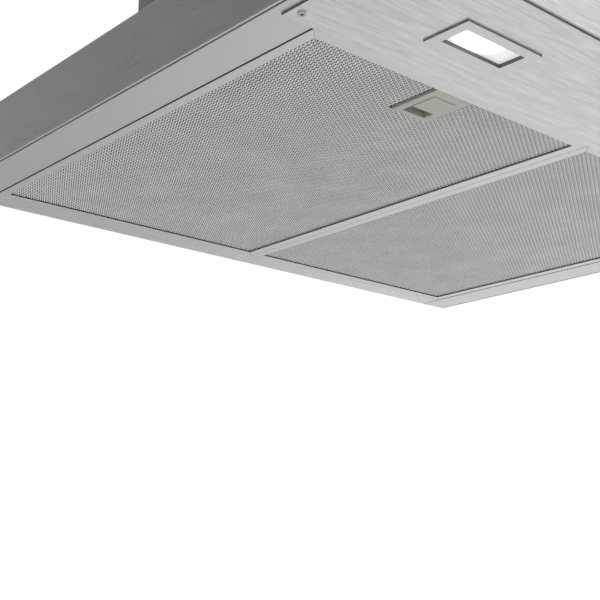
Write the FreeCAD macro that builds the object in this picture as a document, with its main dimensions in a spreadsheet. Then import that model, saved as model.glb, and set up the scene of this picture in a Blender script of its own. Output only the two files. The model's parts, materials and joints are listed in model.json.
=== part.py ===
import FreeCAD, Part
import os
import re
import Sketcher

# Wall-mounted cooker hood: a shallow box canopy with two drop-down grease filters,
# a blower above it and a two-part chimney cover.
# Millimetres. +X is right as seen from the front, +Y points to the wall, +Z is up.
# The origin is the middle of the back face, level with the side panels' lower edge.
# Every formula below is text, made of the names in SIZES, and is bound to the sheet.

SIZES = {
    # canopy box
    "hood_width": 598.0,
    "hood_depth": 500.0,
    "band_height": 48.0,
    "gauge": 0.8,
    "seat_gap": 0.1,
    "touch_gap": 0.2,
    "overcut": 1.0,
    "hem_height": 8.0,
    "side_gap": 1.4,
    # fixed strips round the filters
    "strip_width": 30.5,
    "strip_flange": 14.0,
    "rear_strip_depth": 20.6,
    "corner_seam": 0.7,
    # front cover plate and its rail
    "plate_zone": 100.8,
    "plate_gauge": 1.2,
    "plate_inset": 10.0,
    "fascia_gap": 1.6,
    "rail_height": 24.0,
    "rail_foot": 15.0,
    "screw_radius": 1.5,
    "screw_clearance": 0.1,
    "screw_head_radius": 2.6,
    "screw_head_height": 1.0,
    "plate_screw_length": 7.0,
    "plate_screw_inset": 16.6,
    "plate_screw_setback": 9.5,
    "collar_wall": 1.5,
    "collar_height": 3.0,
    # filters
    "filter_gap": 1.7,
    "filter_seam": 0.4,
    "hinge_gap": 1.0,
    "catch_gap": 1.5,
    "filter_height": 9.2,
    "rim_width": 8.0,
    "top_lip": 6.0,
    "mesh_gauge": 2.1,
    "fit_gap": 0.3,
    "tab_width": 18.0,
    "tab_reach": 6.0,
    "tab_spread": 160.0,
    # latches
    "latch_shift": 1.8,
    "latch_width": 33.0,
    "latch_length": 40.2,
    "latch_border": 6.0,
    "latch_front_border": 8.5,
    "latch_rear_border": 7.0,
    "latch_roof": 1.2,
    "latch_groove": 2.0,
    "latch_travel": 5.0,
    "housing_recess": 0.4,
    "latch_stop_gap": 0.4,
    "nose_width": 12.0,
    "nose_height": 1.6,
    "nose_reach": 1.2,
    "nose_level": 3.4,
    "spring_radius": 1.2,
    "spring_post": 1.5,
    "spring_wall": 2.4,
    "catch_width": 14.0,
    "catch_height": 16.0,
    "catch_bead_radius": 1.2,
    "catch_bead_reach": 1.0,
    # lamps
    "lamp_side_inset": 122.25,
    "lamp_setback": 51.2,
    "lamp_width": 66.5,
    "lamp_depth": 33.2,
    "lamp_proud": 1.2,
    "lamp_neck_inset": 2.3,
    "lamp_rim": 7.3,
    "lamp_ledge": 1.5,
    "lens_recess": 2.7,
    "lens_thickness": 2.0,
    "lamp_neck_height": 8.0,
    "lamp_head_height": 14.0,
    "fin_gap": 5.0,
    "fin_depth": 5.0,
    # push buttons and their board
    "button_radius": 6.2,
    "button_pitch": 20.0,
    "button_proud": 2.0,
    "button_travel": 1.5,
    "button_collar": 1.3,
    "button_collar_thickness": 1.5,
    "stem_radius": 2.0,
    "stem_length": 6.0,
    "control_width": 112.0,
    "control_height": 24.0,
    "control_depth": 19.2,
    "control_wall": 1.5,
    "board_thickness": 1.6,
    "control_boss": 3.5,
    "switch_size": 6.0,
    "boss_radius": 3.0,
    # electronics box
    "box_width": 120.0,
    "box_depth": 60.0,
    "box_height": 26.0,
    "box_wall": 1.6,
    "box_setback": 58.0,
    "box_boss": 5.6,
    "cover_thickness": 1.2,
    "board_edge": 4.0,
    "terminal_width": 34.0,
    "terminal_depth": 14.0,
    "terminal_height": 11.0,
    "terminal_way_pitch": 10.0,
    "terminal_way_radius": 3.4,
    "capacitor_radius": 8.0,
    "capacitor_length": 44.0,
    # mains cable gland
    "gland_spread": 98.0,
    "gland_setback": 40.0,
    "gland_radius": 9.0,
    "gland_bore": 4.0,
    "gland_thread_radius": 6.0,
    "gland_thread_length": 7.0,
    "gland_nut_height": 6.0,
    "gland_dome_height": 9.0,
    "gland_dome_step": 1.5,
    # chimney
    "chimney_width": 245.0,
    "chimney_depth": 250.0,
    "chimney_lower_height": 500.0,
    "chimney_upper_height": 460.0,
    "chimney_show": 80.0,
    "chimney_slip": 0.4,
    "chimney_return": 12.0,
    "bracket_gauge": 1.5,
    "bracket_height": 20.0,
    "bracket_drop": 2.0,
    "bracket_reach": 35.0,
    "bracket_step": 10.0,
    "bracket_slot_gap": 3.3,
    "bracket_hole_spread": 80.0,
    "bracket_hole_radius": 3.0,
    "bracket_screw_setback": 22.0,
    "bracket_screw_length": 8.0,
    # wall plate
    "wall_plate_side_gap": 17.5,
    "wall_plate_height": 312.0,
    "wall_plate_gauge": 1.5,
    "wall_plate_foot": 20.0,
    "wall_hole_spread": 75.0,
    "wall_hole_drop": 25.0,
    "wall_hole_radius": 4.5,
    # blower
    "inlet_size": 180.0,
    "scroll_clear": 8.0,
    "scroll_radius": 92.0,
    "scroll_half_width": 78.0,
    "scroll_wall": 2.0,
    "scroll_inlet_radius": 60.0,
    "neck_half_depth": 75.0,
    "neck_height": 116.0,
    "foot_length": 120.0,
    "foot_reach": 26.0,
    "foot_screw_inset": 7.0,
    "foot_screw_spread": 50.0,
    "foot_screw_depth": 2.0,
    "impeller_radius": 72.0,
    "impeller_half_width": 55.0,
    "impeller_ring": 12.0,
    "impeller_gauge": 2.0,
    "blade_count": 30.0,
    "blade_gauge": 1.2,
    "hub_radius": 12.0,
    "hub_half_length": 10.0,
    "shaft_radius": 4.0,
    "shaft_clearance": 0.05,
    "motor_radius": 42.0,
    "motor_gap": 10.0,
    "spider_gauge": 3.0,
    "spider_rim": 8.0,
    "spider_arm": 10.0,
    "spider_hub_radius": 22.0,
    # duct collar and backdraught flaps
    "collar_radius": 75.0,
    "duct_wall": 2.0,
    "duct_length": 40.0,
    "flap_level": 18.0,
    "flap_gauge": 1.0,
    "flap_edge_gap": 1.8,
    "flap_ledge": 3.0,
    "flap_pin_radius": 1.5,
    "flap_pin_clearance": 0.1,
    "knuckle_radius": 3.0,
    "knuckle_length": 12.0,
    "knuckle_outer": 50.0,
    "knuckle_inner": 20.0,
    "knuckle_overlap": 1.0,
    "flap_inner_gap": 1.0,
}

# Planes and edges that several pieces share, worked out from the sizes.
HALF = "(hood_width/2)"
INSIDE = "(hood_width/2 - gauge)"
STRIP_OUTER = "(hood_width/2 - 2*gauge - side_gap)"
STRIP_INNER = f"({STRIP_OUTER} - strip_width)"
FILTER_OUTER = f"({STRIP_INNER} - filter_gap)"
FILTER_INNER = "(filter_seam/2)"
FILTER_WIDTH = f"({FILTER_OUTER} - {FILTER_INNER})"
FILTER_MIDDLE = f"(({FILTER_OUTER} + {FILTER_INNER})/2)"
FILTER_REAR = "(-rear_strip_depth - hinge_gap)"
FILTER_FRONT = "(-hood_depth + plate_zone)"
RAIL_FACE = f"({FILTER_FRONT} - catch_gap)"
PLATE_FRONT = "(-hood_depth + gauge + fascia_gap)"
CEILING = "(band_height - gauge)"
FASCIA_BACK = "(-hood_depth + gauge)"
BLOWER_Y = "(-chimney_depth/2)"
BLOWER_Z = "(band_height + scroll_clear + scroll_radius)"
NECK_TOP = f"({BLOWER_Z} + neck_height)"
FLAP_Z = f"({NECK_TOP} + flap_level)"
CHIMNEY_TOP = "(band_height + chimney_lower_height + chimney_show)"
BRACKET_Z = f"({CHIMNEY_TOP} - bracket_drop - bracket_height)"
BRACKET_HOLE_Z = f"({BRACKET_Z} + bracket_height/2)"
UPPER_X = "(chimney_width/2 - gauge - chimney_slip)"
HOLE_RADIUS = "(screw_radius + screw_clearance)"
NOSE_TIP = f"({FILTER_FRONT} - nose_reach)"
LATCH_FRONT = f"({FILTER_FRONT} + rim_width + fit_gap)"
WINDOW_FRONT = f"({LATCH_FRONT} + latch_front_border)"
WINDOW_REAR = f"({LATCH_FRONT} + latch_length - latch_rear_border)"
WINDOW_HALF = "(latch_width/2 - latch_border)"
LATCH_TOP = "(filter_height - gauge - touch_gap)"

doc = FreeCAD.newDocument("cooker_hood")
sheet = doc.addObject("Spreadsheet::Sheet", "sizes")
for row, (alias, value) in enumerate(SIZES.items(), start=1):
    sheet.set(f"A{row}", alias)
    sheet.set(f"B{row}", str(value))
    sheet.setAlias(f"B{row}", alias)
doc.recompute()

X_AXIS = FreeCAD.Vector(1, 0, 0)
Y_AXIS = FreeCAD.Vector(0, 1, 0)
TURNED = {
    "X": FreeCAD.Rotation(Y_AXIS, 90),
    "Y": FreeCAD.Rotation(X_AXIS, -90),
    "Z": FreeCAD.Rotation(),
}
SIDES = {"left": -1, "right": 1}
pieces = []


def formula(text):
    """The text with each size's name written as a reference to its cell."""
    return re.sub(r"[A-Za-z_]\w*", lambda word: named(word.group(0)), str(text))


def named(word):
    return f"sizes.{word}" if word in SIZES else word


def bind(thing, name, text):
    thing.setExpression(name, formula(text))


def keep(thing, label):
    """Marks an object as a finished piece, whose label names its file."""
    thing.Label = label
    pieces.append(thing)
    return thing


def at(thing, x, y, z, along="Z"):
    thing.Placement = FreeCAD.Placement(FreeCAD.Vector(), TURNED[along])
    bind(thing, "Placement.Base.x", x)
    bind(thing, "Placement.Base.y", y)
    bind(thing, "Placement.Base.z", z)
    return thing


def block(middle_x, low_y, low_z, wide, deep, tall):
    """A box given by the middle of its width and its front lower edge."""
    box = doc.addObject("Part::Box", "block")
    bind(box, "Length", wide)
    bind(box, "Width", deep)
    bind(box, "Height", tall)
    return at(box, f"{middle_x} - ({wide})/2", low_y, low_z)


def rod(x, y, z, radius, length, along="Z"):
    """A cylinder that starts at the point and runs along the axis."""
    cylinder = doc.addObject("Part::Cylinder", "rod")
    bind(cylinder, "Radius", radius)
    bind(cylinder, "Height", length)
    return at(cylinder, x, y, z, along)


def fuse(*shapes):
    joined = doc.addObject("Part::MultiFuse", "fuse")
    joined.Shapes = list(shapes)
    return joined


def group(*shapes):
    """Separate solids that make up one piece's node."""
    together = doc.addObject("Part::Compound", "group")
    together.Links = list(shapes)
    return together


def cut(base, *tools):
    difference = doc.addObject("Part::Cut", "cut")
    difference.Base = base
    difference.Tool = tools[0] if len(tools) == 1 else fuse(*tools)
    return difference


def body(label):
    return keep(doc.addObject("PartDesign::Body", label), label)


def rectangle(x1, y1, x2, y2):
    return [(x1, y1), (x2, y1), (x2, y2), (x1, y2)]


def centred(x, y, wide, deep):
    return rectangle(
        f"{x} - ({wide})/2", f"{y} - ({deep})/2", f"{x} + ({wide})/2", f"{y} + ({deep})/2"
    )


def circle(x, y, radius):
    return (x, y, radius)


def draw_polygon(sketch, points):
    """A closed outline whose corners are each tied to the origin."""
    first = sketch.GeometryCount
    count = len(points)
    for i in range(count):
        j = (i + 1) % count
        start = FreeCAD.Vector(i + 1, i * i, 0)
        end = FreeCAD.Vector(j + 1, j * j, 0)
        sketch.addGeometry(Part.LineSegment(start, end), False)
    for i, (x, y) in enumerate(points):
        sketch.addConstraint(Sketcher.Constraint("Coincident", first + i, 2, first + (i + 1) % count, 1))
        tie(sketch, Sketcher.Constraint("DistanceX", -1, 1, first + i, 1, 1.0), x)
        tie(sketch, Sketcher.Constraint("DistanceY", -1, 1, first + i, 1, 1.0), y)


def draw_circle(sketch, x, y, radius):
    edge = sketch.addGeometry(Part.Circle(FreeCAD.Vector(), FreeCAD.Vector(0, 0, 1), 1), False)
    tie(sketch, Sketcher.Constraint("DistanceX", -1, 1, edge, 3, 1.0), x)
    tie(sketch, Sketcher.Constraint("DistanceY", -1, 1, edge, 3, 1.0), y)
    tie(sketch, Sketcher.Constraint("Radius", edge, 1.0), radius)


def tie(sketch, constraint, text):
    index = sketch.addConstraint(constraint)
    bind(sketch, f"Constraints[{index}]", text)


def draw(owner, plane, outlines, offset):
    """A sketch on one of the body's own planes: XY (seen as X, Y), XZ (X, Z) or YZ (Y, Z)."""
    sketch = owner.newObject("Sketcher::SketchObject", f"{owner.Name}_sketch")
    origin = [f for f in owner.Origin.OriginFeatures if f.Role == f"{plane}_Plane"][0]
    sketch.AttachmentSupport = (origin, "")
    sketch.MapMode = "FlatFace"
    bind(sketch, ".AttachmentOffset.Base.z", offset)
    for outline in outlines:
        if isinstance(outline, tuple):
            draw_circle(sketch, *outline)
        else:
            draw_polygon(sketch, outline)
    return sketch


def pad(owner, plane, outlines, low, length):
    """Adds the outlines from low to low + length along the plane's axis."""
    offset = f"-({low}) - ({length})" if plane == "XZ" else low
    feature = owner.newObject("PartDesign::Pad", f"{owner.Name}_pad")
    feature.Profile = draw(owner, plane, outlines, offset)
    bind(feature, "Length", length)
    return feature


def pocket(owner, plane, outlines, low, length):
    """Cuts the outlines from low to low + length along the plane's axis."""
    offset = f"-({low})" if plane == "XZ" else f"{low} + {length}"
    feature = owner.newObject("PartDesign::Pocket", f"{owner.Name}_pocket")
    feature.Profile = draw(owner, plane, outlines, offset)
    bind(feature, "Length", length)
    return feature


# ---- canopy -------------------------------------------------------------------

def canopy_top():
    """The lid, with the blower's inlet, the gland's hole and the foot screws' holes."""
    top = body("canopy_top")
    outlines = [rectangle(f"-{INSIDE}", FASCIA_BACK, INSIDE, "-gauge")]
    outlines.append(centred("0", BLOWER_Y, "inlet_size", "inlet_size"))
    outlines.append(circle("-gland_spread", "-gland_setback", "gland_thread_radius + screw_clearance"))
    for x, y in foot_screws():
        outlines.append(circle(x, y, HOLE_RADIUS))
    pad(top, "XY", outlines, CEILING, "gauge")


def side_panel(name, side):
    """A flat side with its lower edge folded back inside as a hem."""
    panel = body(f"side_panel_{name}")
    outer = f"{side}*{HALF}"
    inner = f"{side}*{INSIDE}"
    hem = f"{side}*(hood_width/2 - 2*gauge)"
    pad(panel, "XY", [rectangle(outer, "-hood_depth", inner, "0")], "0", "band_height")
    pad(panel, "XY", [rectangle(inner, FASCIA_BACK, hem, "-gauge")], "0", "hem_height")


def button_places():
    return [f"{i}*button_pitch" for i in range(-2, 3)]


def front_fascia():
    fascia = body("front_fascia")
    outlines = [rectangle(f"-{INSIDE}", "0", INSIDE, "band_height")]
    for x in button_places():
        outlines.append(circle(x, "band_height/2", "button_radius + fit_gap"))
    pad(fascia, "XZ", outlines, "-hood_depth", "gauge")


def rear_panel():
    panel = body("rear_panel")
    pad(panel, "XZ", [rectangle(f"-{INSIDE}", "gauge", INSIDE, "band_height")], "-gauge", "gauge")


def side_strip(name, side):
    """A channel beside the filters: a tall outer flange, a low inner one and a screw collar."""
    strip = body(f"underside_strip_{name}")
    outer = f"{side}*{STRIP_OUTER}"
    inner = f"{side}*{STRIP_INNER}"
    screw_x = f"{side}*({HALF} - plate_screw_inset)"
    screw_y = f"{RAIL_FACE} - plate_screw_setback"
    hole = circle(screw_x, screw_y, HOLE_RADIUS)
    boss = circle(screw_x, screw_y, f"{HOLE_RADIUS} + collar_wall")
    pad(strip, "XY", [rectangle(outer, PLATE_FRONT, inner, "0"), hole], "0", "gauge")
    flange = rectangle(outer, PLATE_FRONT, f"{outer} - {side}*gauge", "-gauge")
    pad(strip, "XY", [flange], "gauge", f"{CEILING} - gauge")
    flange = rectangle(inner, PLATE_FRONT, f"{inner} + {side}*gauge", "-gauge")
    pad(strip, "XY", [flange], "gauge", "strip_flange - gauge")
    pad(strip, "XY", [boss, hole], "gauge", "collar_height")


def rear_strip():
    strip = body("underside_strip_rear")
    half = f"({STRIP_INNER} - corner_seam)"
    pad(strip, "XY", [rectangle(f"-{half}", "-rear_strip_depth", half, "0")], "0", "gauge")
    pad(strip, "XY", [rectangle(f"-{half}", "-2*gauge", half, "-gauge")], "gauge", "strip_flange - gauge")


def front_rail():
    """Carries the cover plate's rear edge, and the catch springs look through its web."""
    rail = body("front_rail")
    web_front = f"({RAIL_FACE} - gauge)"
    foot = rectangle(f"-{STRIP_INNER}", f"{RAIL_FACE} - rail_foot", STRIP_INNER, RAIL_FACE)
    web = rectangle(f"-{STRIP_INNER}", web_front, STRIP_INNER, RAIL_FACE)
    pad(rail, "XY", [foot], "0", "gauge")
    pad(rail, "XY", [web], "gauge", "rail_height - gauge")
    slots = []
    for side in SIDES.values():
        wide = "catch_width + 2*fit_gap"
        top = "nose_level - fit_gap"
        x = latch_x(side)
        slots.append(rectangle(f"{x} - ({wide})/2", "gauge", f"{x} + ({wide})/2", f"{top} + fit_gap"))
    pocket(rail, "XZ", slots, f"{web_front} - gauge", "3*gauge")


def catch_spring(name, side):
    """A leaf on the rail's web whose bead reaches under the latch's nose."""
    leaf = block(
        latch_x(side), f"{RAIL_FACE} - 2*gauge", "gauge", "catch_width", "gauge", "catch_height"
    )
    bead = rod(
        f"{latch_x(side)} - catch_width/2",
        f"{RAIL_FACE} + catch_bead_reach - catch_bead_radius",
        "nose_level - touch_gap - catch_bead_radius",
        "catch_bead_radius",
        "catch_width",
        "X",
    )
    keep(fuse(leaf, bead), f"catch_spring_{name}")


def cover_plate():
    plate = body("front_cover_plate")
    edge = f"({HALF} - plate_inset)"
    outlines = [rectangle(f"-{edge}", PLATE_FRONT, edge, RAIL_FACE)]
    for side in SIDES.values():
        outlines.append(
            centred(lamp_x(side), LAMP_Y, f"{LAMP_NECK_WIDTH} + 2*fit_gap", f"{LAMP_NECK_DEPTH} + 2*fit_gap")
        )
        x = f"{side}*({HALF} - plate_screw_inset)"
        outlines.append(circle(x, f"{RAIL_FACE} - plate_screw_setback", HOLE_RADIUS))
    pad(plate, "XY", outlines, "-plate_gauge", "plate_gauge")


def plate_screws():
    screws = []
    for side in SIDES.values():
        x = f"{side}*({HALF} - plate_screw_inset)"
        y = f"{RAIL_FACE} - plate_screw_setback"
        head = rod(x, y, "-plate_gauge - screw_head_height", "screw_head_radius", "screw_head_height")
        shank = rod(x, y, "-plate_gauge", "screw_radius", "plate_screw_length")
        screws.append(fuse(head, shank))
    keep(group(*screws), "plate_screws")


# ---- lamps --------------------------------------------------------------------

LAMP_Y = "(-hood_depth + lamp_setback)"
LAMP_NECK_WIDTH = "(lamp_width - 2*lamp_neck_inset)"
LAMP_NECK_DEPTH = "(lamp_depth - 2*lamp_neck_inset)"
LENS_WIDTH = "(lamp_width - 2*lamp_rim + 2*lamp_ledge)"
LENS_DEPTH = "(lamp_depth - 2*lamp_rim + 2*lamp_ledge)"
LENS_FACE = "(-plate_gauge - lamp_proud + lens_recess)"


def lamp_x(side):
    return f"({side}*(hood_width/2 - lamp_side_inset))"


def lamp_bezel(name, side):
    """A flat rim below the plate and a neck that goes up through it round the lens."""
    bezel = body(f"lamp_bezel_{name}")
    x = lamp_x(side)
    rim = centred(x, LAMP_Y, "lamp_width", "lamp_depth")
    window = centred(x, LAMP_Y, "lamp_width - 2*lamp_rim", "lamp_depth - 2*lamp_rim")
    neck = centred(x, LAMP_Y, LAMP_NECK_WIDTH, LAMP_NECK_DEPTH)
    seat = centred(x, LAMP_Y, f"{LENS_WIDTH} + fit_gap", f"{LENS_DEPTH} + fit_gap")
    pad(bezel, "XY", [rim, window], "-plate_gauge - lamp_proud", "lamp_proud")
    pad(bezel, "XY", [neck, window], "-plate_gauge", f"{LENS_FACE} + plate_gauge")
    pad(bezel, "XY", [neck, seat], LENS_FACE, f"lamp_neck_height - {LENS_FACE}")


def lamp_lens(name, side):
    lens = body(f"lamp_lens_{name}")
    pad(lens, "XY", [centred(lamp_x(side), LAMP_Y, LENS_WIDTH, LENS_DEPTH)], LENS_FACE, "lens_thickness")


def lamp_module(name, side):
    """The light engine: a spigot inside the neck and a finned head on top of it."""
    module = body(f"lamp_module_{name}")
    x = lamp_x(side)
    low = f"({LENS_FACE} + lens_thickness + fit_gap)"
    spigot = centred(x, LAMP_Y, f"{LENS_WIDTH} - fit_gap", f"{LENS_DEPTH} - fit_gap")
    head = centred(x, LAMP_Y, LAMP_NECK_WIDTH, LAMP_NECK_DEPTH)
    pad(module, "XY", [spigot], low, f"lamp_neck_height - {low}")
    pad(module, "XY", [head], "lamp_neck_height", "lamp_head_height")
    grooves = []
    groove_depth = f"{LAMP_NECK_DEPTH} + 2*overcut"
    for step in range(-2, 3):
        grooves.append(centred(f"{x} + {step}*2*fin_gap", LAMP_Y, "fin_gap", groove_depth))
    top = "lamp_neck_height + lamp_head_height"
    pocket(module, "XY", grooves, f"{top} - fin_depth", "fin_depth")


# ---- filters ------------------------------------------------------------------

def latch_x(side):
    return f"({side}*{FILTER_MIDDLE} - latch_shift)"


def filter_outline(side, inset):
    """The filter's rectangle, drawn in by the inset on all four sides."""
    return rectangle(
        f"{side}*({FILTER_OUTER} - {inset})",
        f"{FILTER_FRONT} + {inset}",
        f"{side}*({FILTER_INNER} + {inset})",
        f"{FILTER_REAR} - {inset}",
    )


def filter_frame(name, side):
    """A rim below, which the mesh lies on, a wall all round, a lip above and two tabs behind."""
    frame = body(f"filter_{name}_frame")
    outer = filter_outline(side, "0")
    pad(frame, "XY", [outer, filter_outline(side, "rim_width")], "0", "gauge")
    wall = [outer, filter_outline(side, "gauge")]
    pad(frame, "XY", wall, "gauge", "filter_height - 2*gauge")
    pad(frame, "XY", [outer, filter_outline(side, "top_lip")], "filter_height - gauge", "gauge")
    tabs = []
    for end in (-1, 1):
        x = f"({side}*{FILTER_MIDDLE} + {end}*tab_spread/2)"
        tabs.append(
            rectangle(f"{x} - tab_width/2", FILTER_REAR, f"{x} + tab_width/2", f"{FILTER_REAR} + tab_reach")
        )
    pad(frame, "XY", tabs, "gauge + fit_gap", "gauge")
    x = latch_x(side)
    slot = rectangle(
        f"{x} - nose_width/2 - fit_gap",
        "nose_level - fit_gap",
        f"{x} + nose_width/2 + fit_gap",
        "nose_level + nose_height + fit_gap",
    )
    pocket(frame, "XZ", [slot], f"{FILTER_FRONT} - gauge", "2*gauge + fit_gap")


def mesh_outline(side):
    """The mesh's outline: a rectangle with a notch for the latch, open at the front."""
    margin = "(gauge + fit_gap)"
    low_x = f"({side}*{FILTER_MIDDLE} - {FILTER_WIDTH}/2 + {margin})"
    high_x = f"({side}*{FILTER_MIDDLE} + {FILTER_WIDTH}/2 - {margin})"
    front = f"({FILTER_FRONT} + {margin})"
    rear = f"({FILTER_REAR} - {margin})"
    notch_low = f"({latch_x(side)} - latch_width/2 - fit_gap)"
    notch_high = f"({latch_x(side)} + latch_width/2 + fit_gap)"
    notch_rear = f"({LATCH_FRONT} + latch_length + fit_gap)"
    return [
        (low_x, front),
        (notch_low, front),
        (notch_low, notch_rear),
        (notch_high, notch_rear),
        (notch_high, front),
        (high_x, front),
        (high_x, rear),
        (low_x, rear),
    ]


def filter_layers(name, side):
    """The raised outer mesh on the rim, and the pack of finer layers above it."""
    outer = body(f"filter_{name}_outer_mesh")
    pad(outer, "XY", [mesh_outline(side)], "gauge", "mesh_gauge")
    pack = body(f"filter_{name}_mesh_pack")
    low = "gauge + mesh_gauge"
    pad(pack, "XY", [mesh_outline(side)], low, f"{LATCH_TOP} - ({low})")


def latch_housing(name, side):
    """A tray with a window below, a grooved cavity above it and a channel for the nose."""
    housing = body(f"latch_{name}_housing")
    x = latch_x(side)
    half = "latch_width/2"
    rear = f"({LATCH_FRONT} + latch_length)"
    seat_front = f"({FILTER_FRONT} + gauge + seat_gap)"
    cavity_low = "(nose_level - fit_gap)"
    cavity_high = f"({LATCH_TOP} - latch_roof)"
    lower = rectangle(f"{x} - {half}", LATCH_FRONT, f"{x} + {half}", rear)
    upper = rectangle(f"{x} - {half}", seat_front, f"{x} + {half}", rear)
    over_rim = "(gauge + seat_gap)"
    pad(housing, "XY", [lower], "housing_recess", f"{over_rim} - housing_recess")
    pad(housing, "XY", [upper], over_rim, f"{LATCH_TOP} - {over_rim}")
    window = rectangle(f"{x} - {WINDOW_HALF}", WINDOW_FRONT, f"{x} + {WINDOW_HALF}", WINDOW_REAR)
    pocket(housing, "XY", [window], "-gauge", f"{cavity_high} + gauge")
    groove_half = f"({WINDOW_HALF} + latch_groove)"
    groove = rectangle(f"{x} - {groove_half}", WINDOW_FRONT, f"{x} + {groove_half}", WINDOW_REAR)
    pocket(housing, "XY", [groove], cavity_low, f"{cavity_high} - {cavity_low}")
    channel_half = "(nose_width/2 + fit_gap)"
    channel = rectangle(f"{x} - {channel_half}", cavity_low, f"{x} + {channel_half}",
                        "nose_level + nose_height + fit_gap")
    pocket(housing, "XZ", [channel], f"{seat_front} - gauge", f"{WINDOW_FRONT} - {seat_front} + 2*gauge")
    post_rear = f"{POST_FRONT} + spring_post"
    post = rectangle(f"{x} - spring_radius", POST_FRONT, f"{x} + spring_radius", post_rear)
    pad(housing, "XY", [post], SPRING_FLOOR, f"{cavity_high} - {SPRING_FLOOR}")


SLIDER_REAR = f"({WINDOW_REAR} - latch_travel - latch_stop_gap)"
POST_FRONT = f"({SLIDER_REAR} - spring_wall - fit_gap - spring_post)"
SPRING_FLOOR = "(2*fit_gap + gauge)"
SLIDER_TOP = "(nose_level + nose_height)"
SLOT_FRONT = f"({WINDOW_FRONT} + spring_wall)"


def latch_slider(name, side):
    """A thumb block in the window, flanges that ride in the grooves, and the nose."""
    slider = body(f"latch_{name}_slider")
    x = latch_x(side)
    half = f"({WINDOW_HALF} - fit_gap)"
    flange_half = f"({WINDOW_HALF} + latch_groove - fit_gap)"
    front = f"({WINDOW_FRONT} + touch_gap)"
    block_outline = rectangle(f"{x} - {half}", front, f"{x} + {half}", SLIDER_REAR)
    flange = rectangle(f"{x} - {flange_half}", front, f"{x} + {flange_half}", SLIDER_REAR)
    nose = rectangle(f"{x} - nose_width/2", NOSE_TIP, f"{x} + nose_width/2", front)
    pad(slider, "XY", [block_outline], "0", "nose_level")
    pad(slider, "XY", [flange], "nose_level", "nose_height")
    pad(slider, "XY", [nose], "nose_level", "nose_height")
    slot_half = "(spring_radius + fit_gap)"
    slot = rectangle(f"{x} - {slot_half}", SLOT_FRONT, f"{x} + {slot_half}", f"{SLIDER_REAR} - spring_wall")
    slot_floor = f"({SPRING_FLOOR} - fit_gap)"
    pocket(slider, "XY", [slot], slot_floor, f"{SLIDER_TOP} - {slot_floor} + gauge")


def latch_spring(name, side):
    spring = rod(
        latch_x(side),
        f"{SLOT_FRONT} + seat_gap",
        f"{SPRING_FLOOR} + spring_radius",
        "spring_radius",
        f"{POST_FRONT} - {SLOT_FRONT} - 2*seat_gap",
        "Y",
    )
    keep(spring, f"latch_{name}_spring")


# ---- push buttons -------------------------------------------------------------

def button(number, x):
    """A round cap, a collar behind the fascia and a stem that meets its switch."""
    z = "band_height/2"
    collar_y = f"({FASCIA_BACK} + fit_gap)"
    stem_y = f"({collar_y} + button_collar_thickness)"
    cap_length = f"{collar_y} + hood_depth + button_proud"
    cap = rod(x, "-hood_depth - button_proud", z, "button_radius", cap_length, "Y")
    collar = rod(x, collar_y, z, "button_radius + button_collar", "button_collar_thickness", "Y")
    stem = rod(x, stem_y, z, "stem_radius", "stem_length", "Y")
    keep(fuse(cap, collar, stem), f"button_{number}")


CONTROL_BACK = f"({FASCIA_BACK} + control_depth)"
CONTROL_BOARD_BACK = f"({CONTROL_BACK} - control_wall - control_boss)"
STEM_END = f"({FASCIA_BACK} + fit_gap + button_collar_thickness + stem_length)"


def control_housing():
    housing = body("control_housing")
    z = "band_height/2"
    outer = centred("0", z, "control_width", "control_height")
    inner = centred("0", z, "control_width - 2*control_wall", "control_height - 2*control_wall")
    pad(housing, "XZ", [outer], FASCIA_BACK, "control_depth")
    pocket(housing, "XZ", [inner], FASCIA_BACK, "control_depth - control_wall")
    bosses = []
    for step in (-2, 2):
        bosses.append(circle(f"{step}*button_pitch", z, "boss_radius"))
    pad(housing, "XZ", bosses, CONTROL_BOARD_BACK, "control_boss")


def control_board():
    """A board on the housing's bosses with a switch behind each button."""
    board = body("control_board")
    z = "band_height/2"
    face = f"({CONTROL_BOARD_BACK} - board_thickness)"
    wide = "control_width - 2*control_wall - board_edge"
    tall = "control_height - 2*control_wall - 2*fit_gap"
    pad(board, "XZ", [centred("0", z, wide, tall)], face, "board_thickness")
    switches = []
    for x in button_places():
        switches.append(centred(x, z, "switch_size", "switch_size"))
    low = f"({STEM_END} + button_travel + touch_gap)"
    pad(board, "XZ", switches, low, f"{face} - {low}")


# ---- electronics --------------------------------------------------------------

BOX_Y = "(-hood_depth + box_setback)"
BOX_LOW = f"({CEILING} - box_height)"
BOARD_TOP = f"({CEILING} - box_wall - box_boss)"
BOARD_LOW = f"({BOARD_TOP} - board_thickness)"


def electronics_box():
    box = body("electronics_box")
    inner_wide = "(box_width - 2*box_wall)"
    inner_deep = "(box_depth - 2*box_wall)"
    pad(box, "XY", [centred("0", BOX_Y, "box_width", "box_depth")], BOX_LOW, "box_height")
    pocket(box, "XY", [centred("0", BOX_Y, inner_wide, inner_deep)], BOX_LOW, "box_height - box_wall")
    bosses = []
    for x_end in (-1, 1):
        for y_end in (-1, 1):
            x = f"{x_end}*({inner_wide}/2 - 2*board_edge)"
            y = f"{BOX_Y} + {y_end}*({inner_deep}/2 - 2*board_edge)"
            bosses.append(circle(x, y, "boss_radius"))
    pad(box, "XY", bosses, BOARD_TOP, "box_boss")


def electronics_cover():
    cover = body("electronics_cover")
    outline = centred("0", BOX_Y, "box_width", "box_depth")
    pad(cover, "XY", [outline], f"{BOX_LOW} - cover_thickness", "cover_thickness")


def circuit_board():
    board = body("circuit_board")
    wide = "box_width - 2*box_wall - board_edge"
    deep = "box_depth - 2*box_wall - board_edge"
    pad(board, "XY", [centred("0", BOX_Y, wide, deep)], BOARD_LOW, "board_thickness")


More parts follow.
